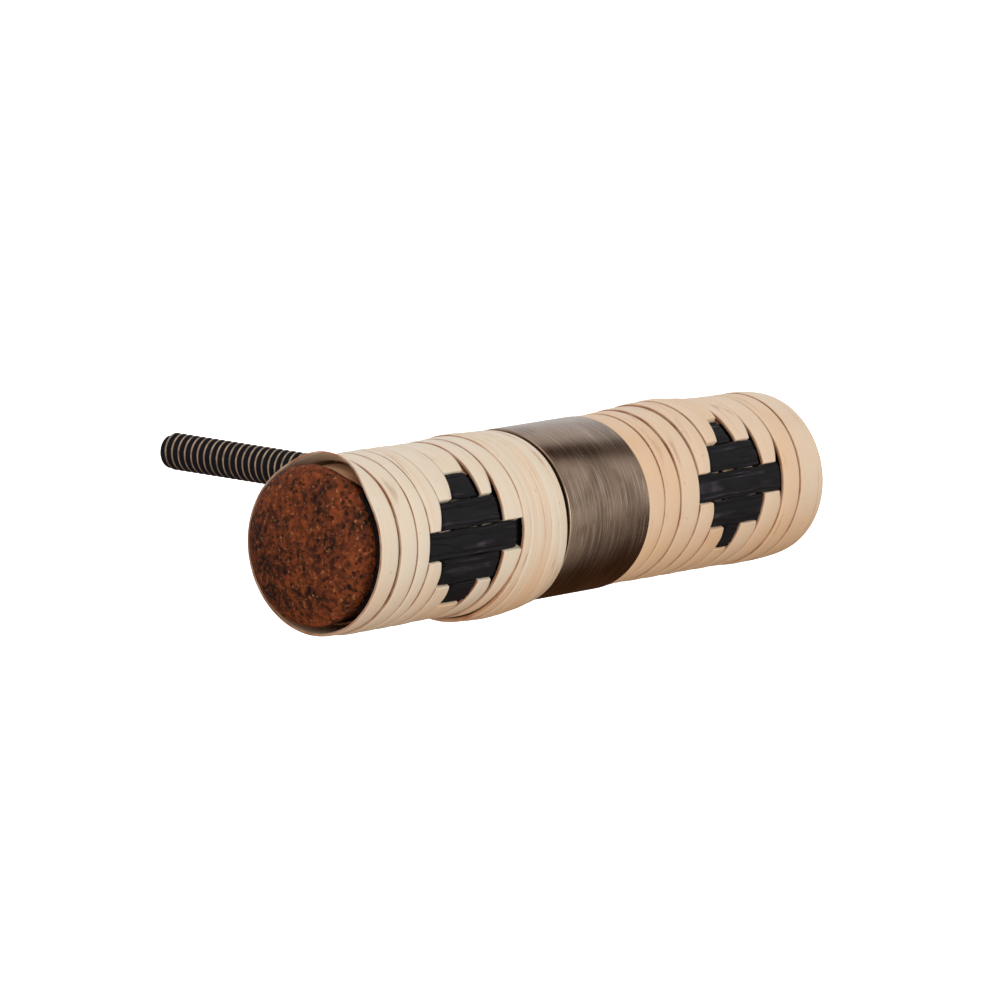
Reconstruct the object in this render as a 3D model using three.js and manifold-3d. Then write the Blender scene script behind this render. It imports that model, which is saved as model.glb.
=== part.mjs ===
// T-bar cabinet knob: a cane-wrapped bar in a brass collar, on a threaded stud.
// Millimetres. X runs along the bar, +Y along the stud into the door, +Z up. The origin is on
// the stud's axis, in the plane of the post's end face, where the knob meets the door.
import * as THREE from "three";
import { mergeVertices } from "three/addons/utils/BufferGeometryUtils.js";
import Module from "manifold-3d";

const wasm = await Module();
wasm.setup();

// ---- Driving dimensions ----
const BAR_STANDOFF = 20; // bar's axis to the door
const BAR_HALF_LENGTH = 44.1;
const COLLAR_R = 10.75;
const COLLAR_HALF_LENGTH = 8;
const COLLAR_WALL = 1.4;
const STUD_R = 2.38; // 3/16 inch thread, at its crests
const STUD_REACH = 40.3; // door's face to the stud's tip
const STUD_BURIED = 4; // how far the stud passes the bar's axis
const FIT_GAP = 0.3; // round a piece that is cut to fit its neighbour
const THREAD_CLEARANCE = 0.06;

// The wrap lies in two layers: the lengthwise strips, and the turns that cross them. A strip
// and a turn change layers where the strip comes to the surface.
const CORE_R = 9;
const DOME_PROUD = 4; // how far each domed end stands past the wrap
const STRIP_THICKNESS = 0.5;
const LAYER_GAP = 0.15;
const INNER_LAYER_R = 9.25;
const OUTER_LAYER_R = INNER_LAYER_R + STRIP_THICKNESS + LAYER_GAP;
const TURN_THICKNESS = 0.6;
const TURN_GAP = 0.36;
const BAND_R = 10.95; // the doubled band beside the collar

// Hand-wrapped turns differ in width. Each list runs from the bar's free end to the collar.
const NEAR_TURN_WIDTHS = [3.1, 3.3, 2.4, 3.0, 3.3, 5.0, 3.1, 3.2];
const FAR_TURN_WIDTHS = [4.7, 3.5, 3.8, 3.9, 3.1, 3.5, 3.3, 3.9, 3.0, 3.3];

// The diamond: lengthwise black strips, each over a run of turns centred on one turn.
const MOTIF_REACH = [0, 1, 2, 1, 0]; // turns crossed on each side of the centre turn
const STRIP_PITCH = 19.4; // degrees round the bar
const STRIP_WIDTH = 17.6; // degrees
const STRIP_STEPS = 2;
const BACK_STEPS = 14;
const NEAR_MOTIF = { centreTurn: 5, angle: 2 };
const FAR_MOTIF = { centreTurn: 4, angle: 10 };

const POST_R = 5;
const WASHER = { radius: 4.7, thickness: 1, clearOfDoorFace: 2.5 };
const NUT = { acrossFlats: 8.2, height: 4, gap: 0.3, chamfer: 0.5 };

const ROUND_STEPS = 40;
const STUD_STEPS = 24;

// ---- Materials ----
function material(color, roughness, metalness = 0) {
  return new THREE.MeshStandardMaterial({ color, roughness, metalness });
}

const cane = material("#dcc9a8", 0.6);
const blackCane = material("#1c1a1c", 0.7);
const stainedPole = material("#5b3524", 0.8);
const antiqueBrass = material("#7d6d55", 0.4, 1);
const blackenedBronze = material("#4a4036", 0.5, 1);

// ---- Solids ----
function part(name, geometry, look) {
  const mesh = new THREE.Mesh(geometry, look);
  mesh.name = name;
  return mesh;
}

// A geometry as a manifold solid, for cutting.
function solidOf(geometry) {
  const bare = geometry.clone();
  bare.deleteAttribute("normal");
  bare.deleteAttribute("uv");
  const merged = mergeVertices(bare, 1e-4);
  const triVerts = [];
  const corners = merged.index.array;
  for (let i = 0; i < corners.length; i += 3) {
    const [a, b, c] = corners.slice(i, i + 3);
    if (a !== b && b !== c && c !== a) triVerts.push(a, b, c);
  }
  const mesh = new wasm.Mesh({
    numProp: 3,
    vertProperties: new Float32Array(merged.attributes.position.array),
    triVerts: new Uint32Array(triVerts),
  });
  return new wasm.Manifold(mesh);
}

function geometryOf(solid) {
  const mesh = solid.getMesh();
  const geometry = new THREE.BufferGeometry();
  geometry.setAttribute("position", new THREE.BufferAttribute(mesh.vertProperties, 3));
  geometry.setIndex(new THREE.BufferAttribute(mesh.triVerts, 1));
  return geometry;
}

function cut(geometry, ...tools) {
  return geometryOf(tools.reduce((solid, tool) => solid.subtract(solidOf(tool)), solidOf(geometry)));
}

// Turns a closed or on-axis profile of [radius, station] pairs round the Y axis.
function turnedAboutY(profile, steps) {
  return new THREE.LatheGeometry(profile.map(([r, y]) => new THREE.Vector2(r, y)), steps);
}

function turnedAboutX(profile, steps) {
  return turnedAboutY(profile, steps).rotateZ(-Math.PI / 2);
}

function closed(profile) {
  return [...profile, profile[0]];
}

// ---- The wrap ----
// A point of the bar's cross-section. Angles are in degrees from the front, up positive; the
// section is drawn so that extruding it and standing it up lays it along X.
function sectionPoint(radius, degrees) {
  const angle = THREE.MathUtils.degToRad(degrees);
  return new THREE.Vector2(-radius * Math.cos(angle), radius * Math.sin(angle));
}

// Section plane (y, z) and extrusion depth x.
function layAlongX(geometry, xStart) {
  const alongX = new THREE.Matrix4().makeBasis(
    new THREE.Vector3(0, 1, 0),
    new THREE.Vector3(0, 0, 1),
    new THREE.Vector3(1, 0, 0),
  );
  return geometry.applyMatrix4(alongX).translate(xStart, 0, 0);
}

function stripAngle(motif, row) {
  return motif.angle + (2 - row) * STRIP_PITCH;
}

// Where the section has its corners: the strips' edges and middles, then even steps round the
// back. Each entry carries the row of the strip that it lies on, or -1.
function sectionStations(motif) {
  const stations = [];
  for (let row = MOTIF_REACH.length - 1; row >= 0; row--) {
    for (let step = 0; step <= STRIP_STEPS; step++) {
      const offset = (step / STRIP_STEPS - 0.5) * STRIP_WIDTH;
      stations.push({ angle: stripAngle(motif, row) + offset, row });
    }
  }
  const backStart = stripAngle(motif, 0) + STRIP_PITCH - STRIP_WIDTH / 2;
  const backSpan = 360 - MOTIF_REACH.length * STRIP_PITCH - (STRIP_PITCH - STRIP_WIDTH);
  for (let step = 0; step <= BACK_STEPS; step++) {
    stations.push({ angle: backStart + (backSpan * step) / BACK_STEPS, row: -1 });
  }
  return stations;
}

// One turn of cane. It lies in the outer layer, and dips under the black strips that cross it.
function caneTurn(from, to, motif, turnsFromCentre, outerRadius = OUTER_LAYER_R + TURN_THICKNESS) {
  const stations = sectionStations(motif);
  const dips = ({ row }) => row >= 0 && turnsFromCentre <= MOTIF_REACH[row];
  const outline = stations.map((s) =>
    sectionPoint(dips(s) ? INNER_LAYER_R + STRIP_THICKNESS : outerRadius, s.angle));
  const hole = stations.map((s) =>
    sectionPoint(dips(s) ? INNER_LAYER_R : OUTER_LAYER_R, s.angle));
  const shape = new THREE.Shape(outline);
  shape.holes.push(new THREE.Path(hole.reverse()));
  const depth = to - from - TURN_GAP;
  const geometry = new THREE.ExtrudeGeometry(shape, { depth, bevelEnabled: false });
  return layAlongX(geometry, from + TURN_GAP / 2);
}

// A lengthwise strip's side view: [x, radius] along its inner face, up over its run of turns.
function stripPath(from, to, runFrom, runTo) {
  const slope = TURN_GAP / 2;
  return [
    [from, INNER_LAYER_R],
    [runFrom - slope, INNER_LAYER_R],
    [runFrom + slope, OUTER_LAYER_R],
    [runTo - slope, OUTER_LAYER_R],
    [runTo + slope, INNER_LAYER_R],
    [to, INNER_LAYER_R],
  ];
}

// Extrudes the side view across the strip's width, then bends it round the bar.
function lengthwiseStrip(path, angle) {
  const outer = path.map(([x, r]) => [x, r + STRIP_THICKNESS]).reverse();
  const shape = new THREE.Shape([...path, ...outer].map(([x, r]) => new THREE.Vector2(x, r)));
  const geometry = new THREE.ExtrudeGeometry(shape, {
    depth: STRIP_WIDTH,
    steps: STRIP_STEPS,
    bevelEnabled: false,
  });
  const position = geometry.attributes.position;
  for (let i = 0; i < position.count; i++) {
    const section = sectionPoint(position.getY(i), angle + STRIP_WIDTH / 2 - position.getZ(i));
    position.setXYZ(i, position.getX(i), section.x, section.y);
  }
  return geometry;
}

// The plain lining that backs the turns round the rest of the core.
function caneLining(from, to, motif) {
  const back = sectionStations(motif).filter(({ row }) => row < 0);
  const outline = back.map(({ angle }) => sectionPoint(INNER_LAYER_R + STRIP_THICKNESS, angle));
  const inside = back.map(({ angle }) => sectionPoint(INNER_LAYER_R, angle)).reverse();
  const shape = new THREE.Shape([...outline, ...inside]);
  return layAlongX(new THREE.ExtrudeGeometry(shape, { depth: to - from, bevelEnabled: false }), from);
}

// One half of the bar's wrap. side is -1 for the near half and 1 for the far half.
function wrappedHalf(prefix, side, widths, motif) {
  const half = new THREE.Group();
  const edges = [BAR_HALF_LENGTH];
  for (const width of widths) edges.push(edges.at(-1) - width);
  const span = (near, far) => (side < 0 ? [-near, -far] : [far, near]);

  widths.forEach((_, i) => {
    const [from, to] = span(edges[i], edges[i + 1]);
    const turnsFromCentre = Math.abs(i - motif.centreTurn);
    const geometry = caneTurn(from, to, motif, turnsFromCentre);
    half.add(part(`${prefix}_cane_turn_${i + 1}`, geometry, cane));
  });

  const wrapEnd = COLLAR_HALF_LENGTH + FIT_GAP;
  const [from, to] = span(BAR_HALF_LENGTH - TURN_GAP, wrapEnd);
  half.add(part(`${prefix}_cane_lining`, caneLining(from, to, motif), cane));
  MOTIF_REACH.forEach((reach, row) => {
    const run = span(edges[motif.centreTurn - reach], edges[motif.centreTurn + reach + 1]);
    const geometry = lengthwiseStrip(stripPath(from, to, ...run), stripAngle(motif, row));
    half.add(part(`${prefix}_black_strip_${row + 1}`, geometry, blackCane));
  });
  return half;
}

// The doubled band that closes the near half against the collar.
function nearBand() {
  const wrapped = NEAR_TURN_WIDTHS.reduce((sum, width) => sum + width, 0);
  const from = wrapped - BAR_HALF_LENGTH;
  const noTurnCrossed = MOTIF_REACH.length;
  return caneTurn(from, -COLLAR_HALF_LENGTH, NEAR_MOTIF, noTurnCrossed, BAND_R);
}

// ---- The bar's core and collar ----
// A hole along the stud's axis, in the bar's own frame, from just short of the bar's axis out.
function studHole(depthPastAxis) {
  const length = depthPastAxis + BAR_STANDOFF;
  const geometry = new THREE.CylinderGeometry(STUD_R + FIT_GAP, STUD_R + FIT_GAP, length, STUD_STEPS);
  return geometry.translate(0, length / 2 - depthPastAxis, 0);
}

function poleCore() {
  const domeSteps = 6;
  const domeDepth = 5;
  const apex = BAR_HALF_LENGTH + DOME_PROUD;
  const dome = [];
  for (let i = 0; i <= domeSteps; i++) {
    const angle = ((i / domeSteps) * Math.PI) / 2;
    dome.push([CORE_R * Math.sin(angle), apex - domeDepth * (1 - Math.cos(angle))]);
  }
  const profile = [...dome.map(([r, x]) => [r, -x]), ...dome.reverse()];
  return cut(turnedAboutX(profile, ROUND_STEPS), studHole(STUD_BURIED + FIT_GAP));
}

function collar() {
  const chamfer = 0.25;
  const inner = COLLAR_R - COLLAR_WALL;
  const end = COLLAR_HALF_LENGTH;
  const profile = closed([
    [inner, -end],
    [COLLAR_R - chamfer, -end],
    [COLLAR_R, chamfer - end],
    [COLLAR_R, end - chamfer],
    [COLLAR_R - chamfer, end],
    [inner, end],
  ]);
  return cut(turnedAboutX(profile, ROUND_STEPS), studHole(-CORE_R / 2));
}

// ---- The fixings, about the stud's axis ----
function post() {
  const chamfer = 0.3;
  const bore = STUD_R + FIT_GAP;
  const profile = closed([
    [bore, -BAR_STANDOFF + CORE_R],
    [POST_R, -BAR_STANDOFF + CORE_R],
    [POST_R, -chamfer],
    [POST_R - chamfer, 0],
    [bore, 0],
  ]);
  const saddleR = COLLAR_R + FIT_GAP;
  const saddle = turnedAboutX(
    [[0, -2 * POST_R], [saddleR, -2 * POST_R], [saddleR, 2 * POST_R], [0, 2 * POST_R]],
    ROUND_STEPS,
  );
  return cut(turnedAboutY(profile, STUD_STEPS), saddle.translate(0, -BAR_STANDOFF, 0));
}

function threadedStud() {
  const chamfer = 0.8;
  const profile = [
    [0, -BAR_STANDOFF - STUD_BURIED],
    [STUD_R - chamfer, -BAR_STANDOFF - STUD_BURIED],
    [STUD_R, chamfer - BAR_STANDOFF - STUD_BURIED],
    [STUD_R, STUD_REACH - chamfer],
    [STUD_R - chamfer, STUD_REACH],
    [0, STUD_REACH],
  ];
  return turnedAboutY(profile, STUD_STEPS);
}

function washer() {
  const inner = STUD_R + FIT_GAP;
  const { radius, thickness, clearOfDoorFace } = WASHER;
  const profile = closed([[inner, 0], [radius, 0], [radius, thickness], [inner, thickness]]);
  return turnedAboutY(profile, STUD_STEPS).translate(0, clearOfDoorFace, 0);
}

function hexNut() {
  const { acrossFlats, height, gap, chamfer } = NUT;
  const cornerR = acrossFlats / Math.sqrt(3);
  const boreR = (STUD_R + THREAD_CLEARANCE) / Math.cos(Math.PI / STUD_STEPS);
  const around = (count, radius) => Array.from({ length: count }, (_, i) => {
    const angle = (i / count) * 2 * Math.PI;
    return new THREE.Vector2(radius * Math.cos(angle), radius * Math.sin(angle));
  });
  const shape = new THREE.Shape(around(6, cornerR));
  shape.holes.push(new THREE.Path(around(STUD_STEPS, boreR)));
  const prism = new THREE.ExtrudeGeometry(shape, { depth: height, bevelEnabled: false });
  const facing = turnedAboutY(
    [
      [0, 0],
      [cornerR - chamfer, 0],
      [cornerR, chamfer],
      [cornerR, height - chamfer],
      [cornerR - chamfer, height],
      [0, height],
    ],
    ROUND_STEPS,
  );
  const nut = geometryOf(solidOf(prism.rotateX(-Math.PI / 2)).intersect(solidOf(facing)));
  return nut.translate(0, WASHER.clearOfDoorFace + WASHER.thickness + gap, 0);
}

// ---- Assembly ----
const bar = new THREE.Group();
bar.position.y = -BAR_STANDOFF;
bar.add(
  part("pole_core", poleCore(), stainedPole),
  part("brass_collar", collar(), antiqueBrass),
  part("near_cane_band", nearBand(), cane),
  wrappedHalf("near", -1, NEAR_TURN_WIDTHS, NEAR_MOTIF),
  wrappedHalf("far", 1, FAR_TURN_WIDTHS, FAR_MOTIF),
);

const knob = new THREE.Group();
knob.add(
  bar,
  part("brass_post", post(), antiqueBrass),
  part("threaded_stud", threadedStud(), blackenedBronze),
  part("washer", washer(), blackenedBronze),
  part("hex_nut", hexNut(), blackenedBronze),
);

export default knob;
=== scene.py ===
"""Dresses the cane-wrapped T-bar knob: cane turns, black strips, brass, pole and stud."""

import math

import bpy
import numpy as np
from bpy.props import FloatProperty, FloatVectorProperty, IntProperty, PointerProperty
from mathutils import Matrix, Vector


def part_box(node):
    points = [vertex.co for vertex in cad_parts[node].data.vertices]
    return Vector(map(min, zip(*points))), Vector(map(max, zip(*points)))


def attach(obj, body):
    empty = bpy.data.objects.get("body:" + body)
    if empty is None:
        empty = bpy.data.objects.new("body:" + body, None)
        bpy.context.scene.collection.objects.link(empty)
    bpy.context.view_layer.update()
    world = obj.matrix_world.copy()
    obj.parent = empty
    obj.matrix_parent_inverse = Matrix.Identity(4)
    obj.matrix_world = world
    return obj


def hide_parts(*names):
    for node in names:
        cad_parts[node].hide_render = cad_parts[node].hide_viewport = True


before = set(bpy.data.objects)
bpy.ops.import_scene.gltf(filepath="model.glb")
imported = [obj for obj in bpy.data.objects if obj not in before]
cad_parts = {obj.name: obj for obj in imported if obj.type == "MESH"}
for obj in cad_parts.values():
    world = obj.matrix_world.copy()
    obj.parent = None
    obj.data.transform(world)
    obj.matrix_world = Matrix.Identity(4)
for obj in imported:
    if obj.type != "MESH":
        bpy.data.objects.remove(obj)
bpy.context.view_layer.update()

bl_info = {
    "name": "Cane-wrapped T-bar knob",
    "version": (1, 0, 0),
    "blender": (4, 5, 0),
    "location": "View3D > Sidebar > Knob",
    "description": "Builds the looks of a cane-wrapped cabinet knob round its packed solids",
    "category": "Add Mesh",
}

MM = 0.001

# ---- Sizes read from the frame, in millimetres ----


def box_mm(node):
    low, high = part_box(node)
    return np.array(low) / MM, np.array(high) / MM


COLLAR_LOW, COLLAR_HIGH = box_mm("brass_collar")
BAR_Y = (COLLAR_LOW[1] + COLLAR_HIGH[1]) / 2
COLLAR_R = (COLLAR_HIGH[2] - COLLAR_LOW[2]) / 2
POST_LOW, POST_HIGH = box_mm("brass_post")
STUD_LOW, STUD_HIGH = box_mm("threaded_stud")
WASHER_LOW, WASHER_HIGH = box_mm("washer")
NUT_LOW, NUT_HIGH = box_mm("hex_nut")
STUD_R = (STUD_HIGH[0] - STUD_LOW[0]) / 2

# The wrap's two layers, as radii, and the diamond's strips, in degrees round the bar.
INNER_LAYER_R = 9.25
LAYER_RISE = 0.65
OUTER_LAYER_R = INNER_LAYER_R + LAYER_RISE
STRIP_PITCH = 19.4
STRIP_WIDTH = 18.8
MOTIF_REACH = (0, 1, 2, 1, 0)

# How thick the strips are, and the gap between the stud and its bores.
CANE_THICKNESS = 0.52
BLACK_THICKNESS = 0.5
LINING_THICKNESS = 0.45
BORE_CLEARANCE = 0.25

# Each half from left to right: its turns' nodes, the swell of each turn over the top and
# underneath, the diamond's angle and its centre turn, which end is free, and a seed.
NEAR = {
    "prefix": "near",
    "turns": [f"near_cane_turn_{i}" for i in range(1, 9)],
    "swell_top": (0.2, 0.25, 0.3, 0.3, 0.27, 0.18, 0.24, 0.32),
    "swell_under": (0.2, 0.3, 0.3, 0.3, 0.28, 0.22, 0.25, 0.5),
    "angle": 2.0,
    "centre": 5,
    "free_end": -1,
    "seed": 0,
}
FAR = {
    "prefix": "far",
    "turns": [f"far_cane_turn_{i}" for i in range(10, 0, -1)],
    "swell_top": (0.13, 0.25, 0.45, 0.7, 0.8, 0.5, 0.18, 0.07, 0.0, -0.05),
    "swell_under": (0.1, 0.0, 0.06, 0.08, 0.11, 0.11, 0.15, 0.15, 0.35, 0.25),
    "angle": 10.0,
    "centre": 5,
    "free_end": 1,
    "seed": 500,
}


# ---- Mesh making ----


def smooth(value, start, end):
    """0 before start and 1 after end, eased between."""
    t = np.clip((value - start) / (end - start), 0.0, 1.0)
    return t * t * (3.0 - 2.0 * t)


def wobble(angles, seed, size, waves=(1, 2, 3, 5, 8)):
    """A small irregularity that repeats once a turn."""
    rng = np.random.default_rng(seed)
    total = np.zeros_like(angles, dtype=float)
    for wave in waves:
        total += rng.normal() * np.sin(np.radians(angles) * wave + rng.uniform(0, 2 * np.pi)) / wave
    return total * size


def on_bar(x, radius, degrees):
    """Points round the bar's axis. Angles run from the front, up positive."""
    angle = np.radians(degrees)
    return np.stack(np.broadcast_arrays(x, BAR_Y - radius * np.cos(angle), radius * np.sin(angle)), -1)


def about_stud(radius, degrees, y):
    """Points round the stud's axis."""
    angle = np.radians(degrees)
    return np.stack(np.broadcast_arrays(radius * np.cos(angle), y, -radius * np.sin(angle)), -1)


def grid_piece(name, points, u, v, closed_u=False, **attributes):
    """A mesh piece from a grid of points in millimetres, capped at its open ends.

    u and v are the grid's metric places along and across the piece, and become its UV map.
    """
    rows, columns = points.shape[:2]
    vertices = points.reshape(-1, 3) * MM
    faces, corners = [], []
    for i in range(rows if closed_u else rows - 1):
        for j in range(columns):
            ring = ((i, j), (i + 1, j), (i + 1, j + 1), (i, j + 1))
            faces.append([(a % rows) * columns + b % columns for a, b in ring])
            corners.extend((u[a], v[b]) for a, b in ring)
    if not closed_u:
        for row, order in ((0, range(columns)), (rows - 1, reversed(range(columns)))):
            cap = [row * columns + j for j in order]
            faces.append(cap)
            corners.extend((u[row], v[index % columns]) for index in cap)
    mesh = bpy.data.meshes.new(name)
    mesh.from_pydata(vertices.tolist(), [], faces)
    layer = mesh.uv_layers.new(name="Strip")
    layer.data.foreach_set("uv", np.array(corners, dtype=np.float32).ravel())
    for key, values in attributes.items():
        attribute = mesh.attributes.new(key, "FLOAT", "POINT")
        attribute.data.foreach_set("value", np.ascontiguousarray(values, dtype=np.float32).ravel())
    turn_outwards(mesh)
    # The caps stay flat, so that they don't bend the shading of the ends.
    mesh.polygons.foreach_set("use_smooth", np.array([len(face) == 4 for face in faces]))
    return placed(name, mesh)


def placed(name, data):
    """A new object in the scene that holds a mesh, a light or a camera."""
    made = bpy.data.objects.new(name, data)
    bpy.context.scene.collection.objects.link(made)
    return made


def turn_outwards(mesh):
    """Flips a closed mesh whose faces point inwards."""
    mesh.calc_loop_triangles()
    volume = 0.0
    for triangle in mesh.loop_triangles:
        a, b, c = (mesh.vertices[i].co for i in triangle.vertices)
        volume += a.dot(b.cross(c))
    if volume < 0:
        mesh.flip_normals()


def finish_piece(piece, material, body, slot, *nodes):
    piece.data.materials.clear()
    piece.data.materials.append(material)
    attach(piece, body)
    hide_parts(*nodes)


def select_only(*pieces):
    bpy.ops.object.select_all(action="DESELECT")
    for piece in pieces:
        piece.select_set(True)
    bpy.context.view_layer.objects.active = pieces[0]


def joined(name, pieces):
    """Joins pieces into one, keeping their UV maps and attributes."""
    select_only(*pieces)
    bpy.ops.object.join()
    pieces[0].name = name
    return pieces[0]


# ---- Node making ----


def fill(tree, socket, value):
    """Gives a socket a plain value, or a link from another socket."""
    if isinstance(value, bpy.types.NodeSocket):
        tree.links.new(value, socket)
    else:
        socket.default_value = value


def add_node(tree, kind, inputs=None, **settings):
    """Adds a node, sets its properties, and fills its inputs with values or sockets."""
    made = tree.nodes.new(kind)
    for key, value in settings.items():
        setattr(made, key, value)
    for key, value in (inputs or {}).items():
        fill(tree, made.inputs[key], value)
    return made


def calc(tree, operation, a, b=0.0, clamp=False):
    made = add_node(tree, "ShaderNodeMath", {0: a, 1: b}, operation=operation, use_clamp=clamp)
    return made.outputs[0]


def times(tree, a, b):
    return calc(tree, "MULTIPLY", a, b)


def plus(tree, a, b, clamp=False):
    return calc(tree, "ADD", a, b, clamp)


def minus(tree, a, b, clamp=False):
    return calc(tree, "SUBTRACT", a, b, clamp)


def scaled(tree, vector, factors):
    """A vector with each of its parts multiplied by a factor."""
    inputs = {0: vector, 1: factors}
    return add_node(tree, "ShaderNodeVectorMath", inputs, operation="MULTIPLY").outputs[0]


def noise(tree, vector, scale, detail):
    inputs = {"Vector": vector, "Scale": scale, "Detail": detail}
    return add_node(tree, "ShaderNodeTexNoise", inputs).outputs


def object_place(tree):
    return add_node(tree, "ShaderNodeTexCoord").outputs["Object"]


def strip_place(tree):
    return add_node(tree, "ShaderNodeUVMap", uv_map="Strip").outputs["UV"]


def ramp_mask(tree, value, low, high):
    """0 below low, 1 above high. low may be the larger, which turns the mask round."""
    inputs = {"Value": value, "From Min": low, "From Max": high}
    kind = "ShaderNodeMapRange"
    return add_node(tree, kind, inputs, interpolation_type="SMOOTHSTEP").outputs["Result"]


def blend_colour(tree, mask, first, second):
    """Blends two colours by a mask. Each colour is a socket or three numbers."""
    inputs = {0: mask, 6: opaque(first), 7: opaque(second)}
    return add_node(tree, "ShaderNodeMix", inputs, data_type="RGBA").outputs[2]


def opaque(colour):
    """A plain colour with its alpha. A socket stays as it is."""
    return colour if isinstance(colour, bpy.types.NodeSocket) else (*colour, 1.0)


def shader_group(name, inputs, outputs):
    """A shader group with a Vector input and named values in and out, and its two end nodes."""
    group = bpy.data.node_groups.new(name, "ShaderNodeTree")
    group.interface.new_socket("Vector", in_out="INPUT", socket_type="NodeSocketVector")
    for label, value in inputs.items():
        socket = group.interface.new_socket(label, in_out="INPUT", socket_type="NodeSocketFloat")
        socket.default_value = value
    for label in outputs:
        group.interface.new_socket(label, in_out="OUTPUT", socket_type="NodeSocketFloat")
    return group, group.nodes.new("NodeGroupInput").outputs, group.nodes.new("NodeGroupOutput").inputs


def fibre_group():
    """Streaks that run along a strip: soft grain, and thin split lines."""
    group, given, result = shader_group(
        "Strip fibre", {"Along": 60.0, "Across": 2500.0, "Split Width": 0.06}, ["Grain", "Splits"]
    )
    scale = add_node(group, "ShaderNodeCombineXYZ", {0: given["Along"], 1: given["Across"], 2: 1.0})
    stretched = scaled(group, given["Vector"], scale.outputs[0])
    grain = noise(group, stretched, 1.0, 5.0)
    wide = scaled(group, stretched, (0.35, 0.3, 1.0))
    wander = noise(group, wide, 1.0, 3.0)
    off_line = calc(group, "ABSOLUTE", minus(group, wander["Fac"], 0.5))
    half_split = times(group, given["Split Width"], 0.2)
    inputs = {"Value": off_line, "From Min": 0.0, "From Max": half_split}
    thin = add_node(group, "ShaderNodeMapRange", inputs).outputs["Result"]
    group.links.new(grain["Fac"], result["Grain"])
    group.links.new(minus(group, 1.0, thin, clamp=True), result["Splits"])
    return group


def mottle_group():
    """Soft cloudy patches."""
    group, given, result = shader_group(
        "Mottle", {"Scale": 200.0, "Low": 0.4, "High": 0.6}, ["Patches"]
    )
    clouds = noise(group, given["Vector"], given["Scale"], 4.0)
    patches = ramp_mask(group, clouds["Fac"], given["Low"], given["High"])
    group.links.new(patches, result["Patches"])
    return group


def scratch_group():
    """Fine brushing along one direction, with a few long bright scratches."""
    group, given, result = shader_group(
        "Brushing", {"Along": 120.0, "Across": 6000.0}, ["Brushing", "Scratches"]
    )
    scale = add_node(group, "ShaderNodeCombineXYZ", {0: given["Along"], 1: given["Across"], 2: 1.0})
    stretched = scaled(group, given["Vector"], scale.outputs[0])
    fine = noise(group, stretched, 1.0, 3.0)
    sparse = scaled(group, stretched, (1.6, 0.5, 1.0))
    lines = noise(group, sparse, 1.0, 1.0)
    group.links.new(fine["Fac"], result["Brushing"])
    group.links.new(ramp_mask(group, lines["Fac"], 0.68, 0.76), result["Scratches"])
    return group


def use_group(tree, name, **inputs):
    makers = {"Strip fibre": fibre_group, "Mottle": mottle_group, "Brushing": scratch_group}
    made = tree.nodes.new("ShaderNodeGroup")
    made.node_tree = bpy.data.node_groups.get(name) or makers[name]()
    for key, value in inputs.items():
        fill(tree, made.inputs[key.replace("_", " ").title()], value)
    return made.outputs


def mottle(tree, place, scale, low, high):
    """Soft patches: 0 where the noise is below low, 1 where it is above high."""
    return use_group(tree, "Mottle", vector=place, scale=scale, low=low, high=high)["Patches"]


def new_material(name, **principled):
    material = bpy.data.materials.new(name)
    material.use_nodes = True
    tree = material.node_tree
    shader = tree.nodes["Principled BSDF"]
    for key, value in principled.items():
        shader.inputs[key.replace("_", " ").title()].default_value = value
    return material, tree, shader.inputs


def bump(tree, inputs, height, distance, strength=1.0):
    values = {"Height": height, "Distance": distance * MM, "Strength": strength}
    made = add_node(tree, "ShaderNodeBump", values)
    tree.links.new(made.outputs["Normal"], inputs["Normal"])


# ---- Materials ----


# The height where the cane's painted shade underneath is warmest, how far the pole's grain is warped, in
# metres, and the colour of its pits.
WARMEST_SHADE_HEIGHT = -0.011
WARP = 0.0007
PIT_COLOUR = (0.006, 0.002, 0.001)


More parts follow.
